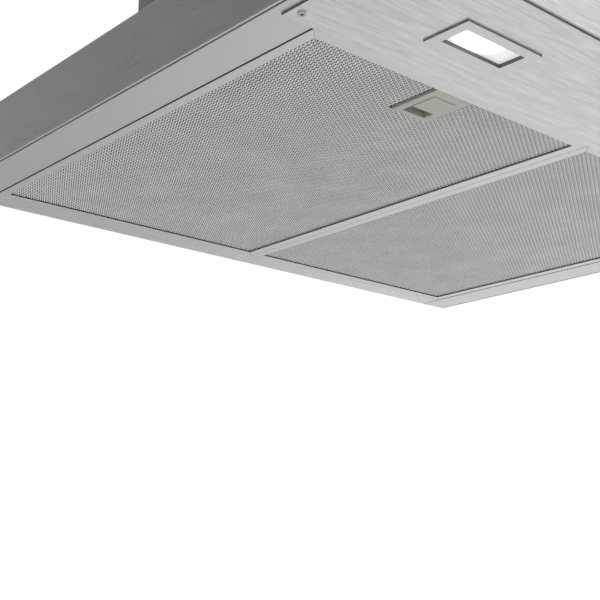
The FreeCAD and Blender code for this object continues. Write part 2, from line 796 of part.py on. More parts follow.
def terminal_block():
    """A block below the board with three wire ways."""
    block_body = body("terminal_block")
    x = "(-box_width/4)"
    y = f"({BOX_Y} - box_depth/4)"
    low = f"({BOARD_LOW} - terminal_height)"
    pad(block_body, "XY", [centred(x, y, "terminal_width", "terminal_depth")], low, "terminal_height")
    ways = []
    for step in (-1, 0, 1):
        way_x = f"{x} + {step}*terminal_way_pitch"
        ways.append(circle(way_x, f"{low} + terminal_height/2", "terminal_way_radius"))
    pocket(block_body, "XZ", ways, f"{y} - terminal_depth/2 - overcut", "terminal_depth + 2*overcut")


def capacitor():
    can = rod(
        "box_width/10",
        f"{BOX_Y} + box_depth/6",
        f"{BOARD_LOW} - touch_gap - capacitor_radius",
        "capacitor_radius",
        "capacitor_length",
        "X",
    )
    keep(can, "capacitor")


def mains_gland():
    """The cable entry on the lid: a nut, a dome and a thread through the sheet."""
    x = "-gland_spread"
    y = "-gland_setback"
    nut = doc.addObject("Part::Prism", "gland_nut")
    nut.Polygon = 6
    bind(nut, "Circumradius", "gland_radius")
    bind(nut, "Height", "gland_nut_height")
    at(nut, x, y, "band_height")
    dome = rod(x, y, "band_height + gland_nut_height", "gland_radius - gland_dome_step", "gland_dome_height")
    thread = rod(x, y, "band_height - gland_thread_length", "gland_thread_radius", "gland_thread_length")
    whole = "gland_thread_length + gland_nut_height + gland_dome_height"
    bore = rod(x, y, "band_height - gland_thread_length - overcut", "gland_bore", f"{whole} + 2*overcut")
    keep(cut(fuse(nut, dome, thread), bore), "mains_gland")


# ---- blower -------------------------------------------------------------------

def foot_screws():
    """Where the screws go down through the blower's feet into the lid."""
    x = "(scroll_half_width + foot_reach - foot_screw_inset)"
    places = []
    for x_end in (-1, 1):
        for y_end in (-1, 1):
            places.append((f"{x_end}*{x}", f"{BLOWER_Y} + {y_end}*foot_screw_spread"))
    return places


def scroll_half(name, side):
    """Half of the snail: drum, neck with its round mouth, end wall with the air inlet, leg and foot."""
    half = "scroll_half_width"
    low_x = "0" if side > 0 else f"-{half}"
    inner_x = "0" if side > 0 else f"-({half} - scroll_wall)"
    middle = f"{side}*{half}/2"
    inner_middle = f"{side}*({half} - scroll_wall)/2"
    wall_middle = f"{side}*({half} - scroll_wall/2)"
    drum = rod(low_x, BLOWER_Y, BLOWER_Z, "scroll_radius", half, "X")
    neck_front = f"{BLOWER_Y} - neck_half_depth"
    neck = block(middle, neck_front, BLOWER_Z, half, "2*neck_half_depth", "neck_height")
    leg_height = f"{BLOWER_Z} - band_height"
    foot_front = f"{BLOWER_Y} - foot_length/2"
    leg = block(wall_middle, foot_front, "band_height", "scroll_wall", "foot_length", leg_height)
    foot_middle = f"{side}*({half} + foot_reach/2 - scroll_wall/2)"
    foot = block(
        foot_middle,
        foot_front,
        "band_height",
        "foot_reach + scroll_wall",
        "foot_length",
        "scroll_wall",
    )
    drum_space = rod(inner_x, BLOWER_Y, BLOWER_Z, "scroll_radius - scroll_wall", f"{half} - scroll_wall", "X")
    neck_space = block(
        inner_middle,
        f"{neck_front} + scroll_wall",
        BLOWER_Z,
        f"{half} - scroll_wall",
        "2*(neck_half_depth - scroll_wall)",
        "neck_height - scroll_wall",
    )
    mouth = rod("0", BLOWER_Y, f"{NECK_TOP} - 2*scroll_wall", "collar_radius - duct_wall", "4*scroll_wall")
    inlet_x = f"{side}*{half} - 2*scroll_wall"
    inlet = rod(inlet_x, BLOWER_Y, BLOWER_Z, "scroll_inlet_radius", "4*scroll_wall", "X")
    holes = []
    for x, y in foot_screws():
        holes.append(rod(x, y, "band_height - overcut", HOLE_RADIUS, "scroll_wall + 2*overcut"))
    shell = cut(fuse(drum, neck, leg, foot), drum_space, neck_space, mouth, inlet, *holes)
    keep(shell, f"scroll_{name}")


def blower_screws():
    screws = []
    for x, y in foot_screws():
        head_z = "band_height + scroll_wall"
        head = rod(x, y, head_z, "screw_head_radius", "screw_head_height")
        tip_z = f"({CEILING} - foot_screw_depth)"
        shank = rod(x, y, tip_z, "screw_radius", f"{head_z} - {tip_z}")
        screws.append(fuse(head, shank))
    keep(group(*screws), "blower_screws")


def impeller():
    """A drum fed from both ends: a middle disc on a hub, two end rings and the blades between."""
    wheel = body("impeller")
    bore = circle(BLOWER_Y, BLOWER_Z, "shaft_radius + shaft_clearance")
    outer = circle(BLOWER_Y, BLOWER_Z, "impeller_radius")
    inner = circle(BLOWER_Y, BLOWER_Z, "impeller_radius - impeller_ring")
    hub = circle(BLOWER_Y, BLOWER_Z, "hub_radius")
    pad(wheel, "YZ", [outer, bore], "-impeller_gauge/2", "impeller_gauge")
    pad(wheel, "YZ", [hub, bore], "-hub_half_length", "2*hub_half_length")
    blade = rectangle(
        f"{BLOWER_Y} - blade_gauge/2",
        f"{BLOWER_Z} + impeller_radius - impeller_ring + blade_gauge",
        f"{BLOWER_Y} + blade_gauge/2",
        f"{BLOWER_Z} + impeller_radius - blade_gauge",
    )
    blade_end = "(impeller_half_width - impeller_gauge/2)"
    vane = pad(wheel, "YZ", [blade], f"-{blade_end}", f"2*{blade_end}")
    line = wheel.newObject("Sketcher::SketchObject", "impeller_axis")
    origin = [f for f in wheel.Origin.OriginFeatures if f.Role == "YZ_Plane"][0]
    line.AttachmentSupport = (origin, "")
    line.MapMode = "FlatFace"
    bind(line, ".AttachmentOffset.Base.x", BLOWER_Y)
    bind(line, ".AttachmentOffset.Base.y", BLOWER_Z)
    around = wheel.newObject("PartDesign::PolarPattern", "blades")
    around.Originals = [vane]
    around.Axis = (line, ["N_Axis"])
    around.Angle = 360
    around.Occurrences = int(sheet.get("blade_count"))
    wheel.Tip = around
    ring_low = "impeller_half_width - impeller_gauge"
    pad(wheel, "YZ", [outer, inner], ring_low, "impeller_gauge")
    pad(wheel, "YZ", [outer, inner], "-impeller_half_width", "impeller_gauge")


def impeller_shaft():
    length = "hub_half_length + scroll_half_width + spider_gauge"
    shaft = rod("-hub_half_length", BLOWER_Y, BLOWER_Z, "shaft_radius", length, "X")
    keep(shaft, "impeller_shaft")


def motor():
    """The motor's can, inside the right half of the drum, with its shaft hole."""
    low = "(hub_half_length + motor_gap)"
    length = f"scroll_half_width - {low}"
    can = rod(low, BLOWER_Y, BLOWER_Z, "motor_radius", length, "X")
    boss = rod(f"{low} - motor_gap/2", BLOWER_Y, BLOWER_Z, "hub_radius", "motor_gap/2", "X")
    bore = rod(f"{low} - motor_gap", BLOWER_Y, BLOWER_Z, "shaft_radius + shaft_clearance",
               f"{length} + 2*motor_gap", "X")
    keep(cut(fuse(can, boss), bore), "motor")


def motor_bracket():
    """A spider on the right end wall: a ring, three bars across it and a hub behind the motor."""
    x = "scroll_half_width"
    gauge = "spider_gauge"
    ring = cut(
        rod(x, BLOWER_Y, BLOWER_Z, "scroll_inlet_radius + spider_rim", gauge, "X"),
        rod(f"{x} - overcut", BLOWER_Y, BLOWER_Z, "scroll_inlet_radius", f"{gauge} + 2*overcut", "X"),
    )
    hub = rod(x, BLOWER_Y, BLOWER_Z, "spider_hub_radius", gauge, "X")
    bars = []
    for turn in range(3):
        bar = doc.addObject("Part::Box", "spider_bar")
        bind(bar, "Length", gauge)
        bind(bar, "Width", "2*scroll_inlet_radius + spider_rim")
        bind(bar, "Height", "spider_arm")
        spin = FreeCAD.Rotation(X_AXIS, 60 * turn)
        centre = doc.addObject("Part::Compound", "spider_bar_centred")
        at(bar, "0", "-scroll_inlet_radius - spider_rim/2", "-spider_arm/2")
        centre.Links = [bar]
        centre.Placement = FreeCAD.Placement(FreeCAD.Vector(), spin)
        bind(centre, "Placement.Base.x", x)
        bind(centre, "Placement.Base.y", BLOWER_Y)
        bind(centre, "Placement.Base.z", BLOWER_Z)
        bars.append(centre)
    bore_radius = "shaft_radius + shaft_clearance"
    bore = rod(f"{x} - overcut", BLOWER_Y, BLOWER_Z, bore_radius, f"{gauge} + 2*overcut", "X")
    keep(cut(fuse(ring, hub, *bars), bore), "motor_bracket")


# ---- duct collar --------------------------------------------------------------

def outlet_collar():
    """The round duct spigot on the neck, with the ledge that the flaps close on."""
    collar = body("outlet_collar")
    bore = circle("0", BLOWER_Y, "collar_radius - duct_wall")
    pad(collar, "XY", [circle("0", BLOWER_Y, "collar_radius"), bore], NECK_TOP, "duct_length")
    ledge_top = f"({FLAP_Z} - flap_gauge/2 - fit_gap)"
    ledge = circle("0", BLOWER_Y, "collar_radius - duct_wall - flap_ledge")
    pad(collar, "XY", [circle("0", BLOWER_Y, "collar_radius - duct_wall/2"), ledge],
        f"{ledge_top} - 2*flap_gauge", "2*flap_gauge")
    hole = circle("0", FLAP_Z, "flap_pin_radius + shaft_clearance")
    pocket(collar, "XZ", [hole], f"{BLOWER_Y} - collar_radius - overcut", "2*collar_radius + 2*overcut")


def flap_pin():
    length = "2*collar_radius"
    pin = rod("0", f"{BLOWER_Y} - collar_radius", FLAP_Z, "flap_pin_radius", length, "Y")
    keep(pin, "flap_pin")


def flap(name, side):
    """Half a disc with two knuckles on the pin; the other flap's knuckles lie between."""
    radius = "(collar_radius - duct_wall - flap_edge_gap)"
    edge = "(knuckle_radius + flap_inner_gap)"
    low_z = f"{FLAP_Z} - flap_gauge/2"
    disc = rod("0", BLOWER_Y, low_z, radius, "flap_gauge")
    half = doc.addObject("Part::Common", "flap_half")
    half.Base = disc
    half.Tool = block(
        f"{side}*({edge} + {radius})/2 + {side}*{edge}/2",
        f"{BLOWER_Y} - {radius}",
        low_z,
        radius,
        f"2*{radius}",
        "flap_gauge",
    )
    parts = [half]
    for place in (f"{-side}*knuckle_outer", f"{side}*knuckle_inner"):
        y = f"({BLOWER_Y} + {place} - knuckle_length/2)"
        parts.append(rod("0", y, FLAP_Z, "knuckle_radius", "knuckle_length", "Y"))
        web = f"({edge} + knuckle_overlap)"
        parts.append(block(f"{side}*{web}/2", y, low_z, web, "knuckle_length", "flap_gauge"))
    bore = rod("0", f"{BLOWER_Y} - collar_radius", FLAP_Z, "flap_pin_radius + flap_pin_clearance",
               "2*collar_radius", "Y")
    keep(cut(fuse(*parts), bore), f"flap_{name}")


# ---- chimney and wall fixings -------------------------------------------------

def channel_outline(half_width, front, back):
    """A sheet folded round three sides, with a short return at each back edge."""
    inner = f"({half_width} - gauge)"
    tip = f"({half_width} - chimney_return)"
    back_inner = f"({back} - gauge)"
    right = [
        (half_width, front),
        (half_width, back),
        (tip, back),
        (tip, back_inner),
        (inner, back_inner),
        (inner, f"{front} + gauge"),
    ]
    left = [(f"-{x}", y) for x, y in reversed(right)]
    return right + left


def chimney_lower():
    cover = body("chimney_lower")
    outline = channel_outline("(chimney_width/2)", "(-chimney_depth)", "0")
    pad(cover, "XY", [outline], "band_height", "chimney_lower_height")


def chimney_upper():
    """The inner cover, which slides up inside the lower one; two holes take the bracket's screws."""
    cover = body("chimney_upper")
    outline = channel_outline(
        UPPER_X, "(-chimney_depth + gauge + chimney_slip)", "(-gauge - chimney_slip)"
    )
    pad(cover, "XY", [outline], f"{CHIMNEY_TOP} - chimney_upper_height", "chimney_upper_height")
    hole = circle("-bracket_screw_setback", BRACKET_HOLE_Z, HOLE_RADIUS)
    pocket(cover, "YZ", [hole], f"-{UPPER_X} - overcut", f"2*{UPPER_X} + 2*overcut")


def chimney_bracket():
    """A folded strip that is screwed to the wall and holds the upper cover by its sides."""
    bracket = body("chimney_bracket")
    web = "(chimney_width/2 - chimney_return - chimney_slip - gauge - bracket_slot_gap)"
    side = f"({UPPER_X} - gauge)"
    thick = "bracket_gauge"
    right = [
        (web, "0"),
        (web, f"-bracket_step + {thick}"),
        (side, f"-bracket_step + {thick}"),
        (side, "-bracket_reach"),
        (f"{side} - {thick}", "-bracket_reach"),
        (f"{side} - {thick}", "-bracket_step"),
        (f"{web} - {thick}", "-bracket_step"),
        (f"{web} - {thick}", f"-{thick}"),
    ]
    left = [(f"-({x})", y) for x, y in reversed(right)]
    pad(bracket, "XY", [right + left], BRACKET_Z, "bracket_height")
    wall_holes = []
    for side_sign in SIDES.values():
        wall_holes.append(circle(f"{side_sign}*bracket_hole_spread", BRACKET_HOLE_Z, "bracket_hole_radius"))
    pocket(bracket, "XZ", wall_holes, f"-{thick} - overcut", f"{thick} + 2*overcut")
    hole = circle("-bracket_screw_setback", BRACKET_HOLE_Z, HOLE_RADIUS)
    pocket(bracket, "YZ", [hole], f"-{UPPER_X} - overcut", f"2*{UPPER_X} + 2*overcut")


def chimney_screws():
    screws = []
    for side in SIDES.values():
        y = "-bracket_screw_setback"
        head_x = UPPER_X if side > 0 else f"-{UPPER_X} - screw_head_height"
        shank_x = f"{UPPER_X} - bracket_screw_length" if side > 0 else f"-{UPPER_X}"
        head = rod(head_x, y, BRACKET_HOLE_Z, "screw_head_radius", "screw_head_height", "X")
        shank = rod(shank_x, y, BRACKET_HOLE_Z, "screw_radius", "bracket_screw_length", "X")
        screws.append(fuse(head, shank))
    keep(group(*screws), "chimney_screws")


def wall_plate():
    """The plate that hangs on the wall screws and stands on the lid with its foot."""
    plate = body("wall_plate")
    half = "(chimney_width/2 - wall_plate_side_gap)"
    top = "(band_height + wall_plate_height)"
    outlines = [rectangle(f"-{half}", "band_height", half, top)]
    for side in SIDES.values():
        outlines.append(circle(f"{side}*wall_hole_spread", f"{top} - wall_hole_drop", "wall_hole_radius"))
    pad(plate, "XZ", outlines, "-wall_plate_gauge", "wall_plate_gauge")
    foot = rectangle(f"-{half}", "-wall_plate_gauge - wall_plate_foot", half, "-wall_plate_gauge")
    pad(plate, "XY", [foot], "band_height", "wall_plate_gauge")


# ---- the whole hood -----------------------------------------------------------

canopy_top()
front_fascia()
rear_panel()
rear_strip()
front_rail()
cover_plate()
plate_screws()
control_housing()
control_board()
electronics_box()
electronics_cover()
circuit_board()
terminal_block()
capacitor()
mains_gland()
blower_screws()
impeller()
impeller_shaft()
motor()
motor_bracket()
outlet_collar()
flap_pin()
chimney_lower()
chimney_upper()
chimney_bracket()
chimney_screws()
wall_plate()
for number, place in enumerate(button_places(), start=1):
    button(number, place)
for side_name, sign in SIDES.items():
    side_panel(side_name, sign)
    side_strip(side_name, sign)
    catch_spring(side_name, sign)
    lamp_bezel(side_name, sign)
    lamp_lens(side_name, sign)
    lamp_module(side_name, sign)
    filter_frame(side_name, sign)
    filter_layers(side_name, sign)
    latch_housing(side_name, sign)
    latch_slider(side_name, sign)
    latch_spring(side_name, sign)
    scroll_half(side_name, sign)
    flap(side_name, sign)
doc.recompute()

for thing in doc.Objects:
    if "Invalid" in thing.State or "Error" in thing.State:
        raise RuntimeError(f"{thing.Label} could not be worked out")
os.makedirs("parts", exist_ok=True)
for piece in pieces:
    if piece.Shape.isNull() or not piece.Shape.isValid() or not piece.Shape.Solids:
        raise RuntimeError(f"{piece.Label} is not a sound solid")
    piece.Shape.exportStep(f"parts/{piece.Label}.step")
print(f"{len(pieces)} pieces")
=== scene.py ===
"""Looks of a wall-mounted cooker hood with mesh grease filters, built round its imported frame."""

import json
import math

import bmesh
import bpy
import numpy as np
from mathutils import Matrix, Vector


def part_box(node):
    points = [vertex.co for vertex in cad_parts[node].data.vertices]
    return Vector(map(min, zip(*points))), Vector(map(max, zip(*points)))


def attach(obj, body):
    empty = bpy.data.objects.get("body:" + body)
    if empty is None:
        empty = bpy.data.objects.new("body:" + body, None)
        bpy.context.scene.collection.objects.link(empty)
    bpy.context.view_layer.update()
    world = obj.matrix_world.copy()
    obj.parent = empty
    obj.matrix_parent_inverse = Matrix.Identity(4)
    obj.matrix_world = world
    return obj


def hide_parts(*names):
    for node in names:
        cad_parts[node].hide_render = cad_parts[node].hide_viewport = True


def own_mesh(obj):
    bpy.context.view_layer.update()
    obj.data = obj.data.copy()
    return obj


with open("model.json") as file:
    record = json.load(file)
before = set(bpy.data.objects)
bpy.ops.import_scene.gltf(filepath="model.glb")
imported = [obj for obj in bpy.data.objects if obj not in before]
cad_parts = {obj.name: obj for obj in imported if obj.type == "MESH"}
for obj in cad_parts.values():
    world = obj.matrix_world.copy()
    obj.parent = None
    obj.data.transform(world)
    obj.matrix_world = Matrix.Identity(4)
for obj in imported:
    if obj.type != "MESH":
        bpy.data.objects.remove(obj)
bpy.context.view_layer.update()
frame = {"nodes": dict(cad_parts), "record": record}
nodes = frame["nodes"]
MM = 0.001

# ---- sizes that the frame's nodes share, in millimetres ------------------------

FILTER_INNER = 0.2
FILTER_OUTER = 263.8
FILTER_FRONT = -399.2
FILTER_REAR = -21.6
RIM = 8.0
MESH_LOW = 0.8
LATCH_X = {"left": -133.8, "right": 130.2}
LATCH_HALF = 16.5
LATCH_REAR = -350.7
SIDES = {"left": -1, "right": 1}


# ---- node materials ---------------------------------------------------------------


class Nodes:
    """A short way to write a node tree."""

    def __init__(self, name):
        self.material = bpy.data.materials.new(name)
        self.material.use_nodes = True
        self.tree = self.material.node_tree
        self.tree.nodes.clear()
        output = self.tree.nodes.new("ShaderNodeOutputMaterial")
        self.surface = self.tree.nodes.new("ShaderNodeBsdfPrincipled")
        self.tree.links.new(self.surface.outputs[0], output.inputs["Surface"])

    def add(self, kind, **sockets):
        """A new node with its inputs set; an underscore stands for a space in an input's name."""
        node = self.tree.nodes.new(kind)
        for key, value in sockets.items():
            self.put(node, key, value)
        return node

    def put(self, node, key, value):
        """Links another node's output to the input, or gives the input a plain value."""
        target = node.inputs[key.replace("_", " ")]
        if isinstance(value, bpy.types.NodeSocket):
            self.tree.links.new(value, target)
        else:
            target.default_value = value

    def link(self, output, node, key):
        self.tree.links.new(output, node.inputs[key])

    def place(self, scale):
        """Points of the object's own space, stretched by the scale."""
        coordinates = self.tree.nodes.new("ShaderNodeTexCoord")
        mapping = self.tree.nodes.new("ShaderNodeMapping")
        mapping.inputs["Scale"].default_value = scale
        self.tree.links.new(coordinates.outputs["Object"], mapping.inputs["Vector"])
        return mapping.outputs[0]

    def noise(self, scale):
        texture = self.add("ShaderNodeTexNoise", Scale=1.0, Detail=2.0, Roughness=0.5)
        self.link(self.place(scale), texture, "Vector")
        return texture.outputs["Fac"]

    def spread(self, value, low, high, from_low=0.3, from_high=0.7):
        """The value's range moved to low..high; most of a noise lies within 0.3..0.7."""
        node = self.add("ShaderNodeMapRange")
        node.inputs["From Min"].default_value = from_low
        node.inputs["From Max"].default_value = from_high
        node.inputs["To Min"].default_value = low
        node.inputs["To Max"].default_value = high
        self.link(value, node, "Value")
        return node.outputs["Result"]

    def math(self, operation, a, b):
        node = self.tree.nodes.new("ShaderNodeMath")
        node.operation = operation
        for index, value in enumerate((a, b)):
            if isinstance(value, bpy.types.NodeSocket):
                self.tree.links.new(value, node.inputs[index])
            else:
                node.inputs[index].default_value = value
        return node.outputs[0]

    def tint(self, colour, factor):
        """The colour made darker or lighter by the factor, which varies over the surface."""
        node = self.tree.nodes.new("ShaderNodeMix")
        node.data_type = "RGBA"
        node.blend_type = "MULTIPLY"
        node.inputs[0].default_value = 1.0
        node.inputs[6].default_value = (*colour, 1.0)
        grey = self.tree.nodes.new("ShaderNodeCombineColor")
        for channel in range(3):
            self.tree.links.new(factor, grey.inputs[channel])
        self.tree.links.new(grey.outputs[0], node.inputs[7])
        return node.outputs[2]

    def bump(self, height, strength, distance):
        node = self.tree.nodes.new("ShaderNodeBump")
        node.inputs["Strength"].default_value = strength
        node.inputs["Distance"].default_value = distance
        self.tree.links.new(height, node.inputs["Height"])
        self.tree.links.new(node.outputs[0], self.surface.inputs["Normal"])

    def set(self, **sockets):
        for key, value in sockets.items():
            self.put(self.surface, key, value)


AXES = {"X": 0, "Y": 1, "Z": 2}


def along(axis, fine, coarse):
    """A scale that is coarse along the axis and fine across it."""
    scale = [fine, fine, fine]
    scale[AXES[axis]] = coarse
    return tuple(scale)


def brushed(name, axis, colour, low=0.26, high=0.38, contrast=0.03):
    """Brushed sheet whose grain runs along the axis, in object space."""
    m = Nodes(name)
    fine = m.noise(along(axis, 2200.0, 70.0))
    streak = m.noise(along(axis, 420.0, 42.0))
    cloud = m.noise((5.0,) * 3)
    grain = m.math("ADD", m.math("MULTIPLY", fine, 0.3), m.math("MULTIPLY", streak, 0.7))
    shade = m.spread(grain, 1.0 - contrast, 1.0 + contrast)
    shade = m.math("MULTIPLY", shade, m.spread(cloud, 0.985, 1.015))
    m.set(Metallic=1.0, Base_Color=m.tint(colour, shade), Roughness=m.spread(grain, low, high))
    m.bump(fine, 0.06, 0.00004)
    return m.material


def cast(name, colour, roughness, metallic=0.0, grain=900.0, depth=0.00008, strength=0.3, wear=0.04):
    """A moulded, cast or painted surface with a fine even grain and faint cloudiness."""
    m = Nodes(name)
    fine = m.noise((grain,) * 3)
    cloud = m.noise((18.0,) * 3)
    shade = m.math("MULTIPLY", m.spread(fine, 1 - wear, 1 + wear), m.spread(cloud, 1 - wear, 1 + wear))
    m.set(
        Metallic=metallic,
        Base_Color=m.tint(colour, shade),
        Roughness=m.spread(fine, roughness - 0.05, roughness + 0.07),
    )
    m.bump(fine, strength, depth)
    return m.material


def galvanised(name, colour):
    """Zinc-coated sheet with its broad flakes."""
    m = Nodes(name)
    flakes = m.add("ShaderNodeTexVoronoi", Scale=1.0)
    flakes.feature = "F1"
    m.link(m.place((150.0,) * 3), flakes, "Vector")
    value = m.tree.nodes.new("ShaderNodeSeparateColor")
    m.tree.links.new(flakes.outputs["Color"], value.inputs[0])
    flake = value.outputs[0]
    shade = m.spread(flake, 0.86, 1.05, 0.0, 1.0)
    m.set(Metallic=1.0, Base_Color=m.tint(colour, shade), Roughness=m.spread(flake, 0.34, 0.5, 0.0, 1.0))
    m.bump(m.noise((500.0,) * 3), 0.15, 0.00008)
    return m.material


def board(name, colour):
    """Laminate with tracks under its lacquer."""
    m = Nodes(name)
    tracks = m.add("ShaderNodeTexBrick")
    m.link(m.place((140.0,) * 3), tracks, "Vector")
    tracks.inputs["Color1"].default_value = (*[c * 0.8 for c in colour], 1)
    tracks.inputs["Color2"].default_value = (*colour, 1)
    tracks.inputs["Mortar"].default_value = (*[c * 1.7 for c in colour], 1)
    m.set(Roughness=m.spread(m.noise((300.0,) * 3), 0.3, 0.42))
    m.link(tracks.outputs["Color"], m.surface, "Base Color")
    m.bump(tracks.outputs["Fac"], 0.2, 0.00008)
    return m.material


# The lens's bright spot, in metres: its reach, and how far its middle lies from the lens's.
GLOW_REACH = (0.0185, 0.0118, 1.0)
GLOW_SHIFT = Vector((-0.006, -0.001, 0.0))


def lit_lens(name, centre):
    """A frosted lens lit from behind, brightest over its light source."""
    m = Nodes(name)
    coordinates = m.tree.nodes.new("ShaderNodeTexCoord")
    mapping = m.tree.nodes.new("ShaderNodeMapping")
    mapping.vector_type = "TEXTURE"
    mapping.inputs["Location"].default_value = centre
    mapping.inputs["Scale"].default_value = GLOW_REACH
    m.tree.links.new(coordinates.outputs["Object"], mapping.inputs["Vector"])
    length = m.tree.nodes.new("ShaderNodeVectorMath")
    length.operation = "LENGTH"
    flat = m.tree.nodes.new("ShaderNodeVectorMath")
    flat.operation = "MULTIPLY"
    flat.inputs[1].default_value = (1.0, 1.0, 0.0)
    m.tree.links.new(mapping.outputs[0], flat.inputs[0])
    m.tree.links.new(flat.outputs[0], length.inputs[0])
    glow = m.spread(length.outputs["Value"], 1.1, 0.36, 0.7, 1.15)
    frost = m.noise((1500.0,) * 3)
    m.set(
        Base_Color=m.tint((0.6, 0.6, 0.59), m.spread(frost, 0.96, 1.02)),
        Roughness=m.spread(frost, 0.25, 0.4),
        Emission_Color=(1.0, 1.0, 0.99, 1.0),
        Emission_Strength=glow,
    )
    m.bump(frost, 0.2, 0.00005)
    return m.material


def pack_sheet(name):
    """Layers of fine mesh seen through the outer one. Their colour is painted dark as painted shade between
    the layers, and darker still in the cells' middles, where the openings are shaded.
    """
    m = Nodes(name)
    cells = m.add("ShaderNodeTexVoronoi", Scale=1.0)
    cells.feature = "DISTANCE_TO_EDGE"
    m.link(m.place((420.0, 700.0, 300.0)), cells, "Vector")
    cells_and_shade = m.spread(cells.outputs["Distance"], 1.0, 0.18, 0.05, 0.30)
    m.set(
        Metallic=0.9,
        Base_Color=m.tint((0.15, 0.15, 0.15), cells_and_shade),
        Roughness=m.spread(m.noise((900.0,) * 3), 0.4, 0.6),
    )
    m.bump(cells_and_shade, 0.7, 0.0005)
    return m.material


def mesh_metal(name):
    """Aluminium strands with a fine grain and faint cloudiness."""
    m = Nodes(name)
    fine = m.noise((1400.0,) * 3)
    cloud = m.noise((30.0,) * 3)
    shade = m.math("MULTIPLY", m.spread(fine, 0.93, 1.05), m.spread(cloud, 0.95, 1.04))
    m.set(Metallic=1.0, Base_Color=m.tint((0.61, 0.61, 0.605), shade), Roughness=m.spread(fine, 0.11, 0.21))
    m.bump(fine, 0.15, 0.00005)
    return m.material


steel_x = brushed("steel_grain_x", "X", (0.62, 0.62, 0.62), contrast=0.16)
steel_y = brushed("steel_grain_y", "Y", (0.58, 0.58, 0.585), contrast=0.02)
# The chimney's steel is a darker copy of the canopy's brushed steel, as painted shade for the darker light
# its faces show.
steel_z_painted_dark = brushed("steel_grain_z_painted_dark", "Z", (0.37, 0.37, 0.375), contrast=0.02)
rim_metal = brushed("rim_metal", "X", (0.62, 0.62, 0.62), low=0.3, high=0.4)
strand_metal = mesh_metal("strand_metal")
pack_metal_and_shade = pack_sheet("pack_metal_and_shade")
zinc = galvanised("zinc", (0.55, 0.57, 0.59))
green_board = board("green_board", (0.02, 0.12, 0.05))

SMOOTH = {"grain": 1500.0, "depth": 0.00003, "strength": 0.2}
SMOOTH_METAL = {"metallic": 1.0, **SMOOTH}
lamp_metal = cast("lamp_metal", (0.62, 0.62, 0.62), 0.36, wear=0.015, **SMOOTH_METAL)
spring_steel = cast("spring_steel", (0.62, 0.62, 0.64), 0.25, wear=0.03, **SMOOTH_METAL)
screw_steel = cast("screw_steel", (0.52, 0.52, 0.53), 0.3, wear=0.04, **SMOOTH_METAL)
button_metal = cast("button_satin", (0.58, 0.58, 0.59), 0.28, wear=0.02, **SMOOTH_METAL)
# Near-black metal as painted shade: on the cover plate's side faces and the bezel's low outer walls it
# stands for the shadow in the gaps beside them.
painted_gap_shade = cast("painted_gap_shade", (0.17, 0.17, 0.175), 0.5, wear=0.03, **SMOOTH_METAL)
# Near-black, as painted shade on the bezel's walls round the lens, where its recess lies in shade.
lens_recess_shade = cast("lens_recess_shade", (0.10, 0.10, 0.10), 0.4, wear=0.03, **SMOOTH)
light_alloy = cast(
    "light_alloy", (0.42, 0.42, 0.43), 0.5, metallic=1.0, grain=800.0, depth=0.0001, strength=0.4, wear=0.05
)
latch_plastic = cast(
    "latch_plastic_grey", (0.37, 0.375, 0.335), 0.5, grain=1300.0, depth=0.00005, strength=0.25, wear=0.02
)
black_plastic = cast(
    "black_plastic", (0.028, 0.028, 0.03), 0.5, grain=1200.0, depth=0.0001, strength=0.35, wear=0.08
)
pale_plastic = cast("pale_plastic", (0.60, 0.60, 0.56), 0.4, depth=0.00006, strength=0.2, wear=0.03)
motor_enamel = cast("motor_enamel", (0.035, 0.036, 0.04), 0.35, grain=500.0, depth=0.00012, wear=0.06)


def dress(material, *names):
    """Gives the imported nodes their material; their meshes stay as they are."""
    for name in names:
        slots = nodes[name].data.materials
        slots.clear()
        slots.append(material)


dress(spring_steel, "catch_spring_left", "catch_spring_right", "flap_pin", "impeller_shaft")
dress(black_plastic, "impeller")
dress(green_board, "circuit_board", "control_board")
for side in SIDES:
    dress(pack_metal_and_shade, f"filter_{side}_mesh_pack")
    lamp_low, lamp_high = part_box(f"lamp_lens_{side}")
    middle = (lamp_low + lamp_high) / 2
    middle.z = 0.0
    dress(lit_lens(f"lit_lens_{side}", middle + GLOW_SHIFT), f"lamp_lens_{side}")


# ---- rounded copies of the sheet and moulded parts -------------------------------

BODIES = frame["record"]["behaviour"]["bodies"]
BODY_OF = {node: body for body, members in BODIES.items() for node in members}


def new_object(name, vertices, faces, material, smooth=False):
    """An object of the given points, in metres, and faces."""
    mesh = bpy.data.meshes.new(name)
    mesh.from_pydata(vertices, [], faces)
    mesh.materials.append(material)
    mesh.validate()
    if smooth:
        mesh.shade_smooth()
    thing = bpy.data.objects.new(name, mesh)
    bpy.context.scene.collection.objects.link(thing)
    return thing


def baked(thing):
    """Puts the result of the thing's modifiers in its mesh."""
    shown = thing.evaluated_get(bpy.context.evaluated_depsgraph_get())
    mesh = bpy.data.meshes.new_from_object(shown)
    thing.modifiers.clear()
    thing.data = mesh


def round_edges(thing, radius):
    """Rounds the sharp edges, and keeps the broad faces' shading flat."""
    thing.data.shade_smooth()
    edges = thing.modifiers.new("edges", "BEVEL")
    edges.width = radius * MM
    edges.segments = 2
    edges.limit_method = "ANGLE"
    edges.angle_limit = math.radians(35)
    weight = thing.modifiers.new("normals", "WEIGHTED_NORMAL")
    weight.weight = 100
    baked(thing)


def tidy_mesh(mesh):
    """Joins the corners that lie on each other and the triangles that lie in one plane."""
    work = bmesh.new()
    work.from_mesh(mesh)
    bmesh.ops.remove_doubles(work, verts=work.verts, dist=1e-6)
    bmesh.ops.dissolve_limit(work, angle_limit=math.radians(1.0), verts=work.verts, edges=work.edges)
    bmesh.ops.recalc_face_normals(work, faces=work.faces)
    work.to_mesh(mesh)
    work.free()


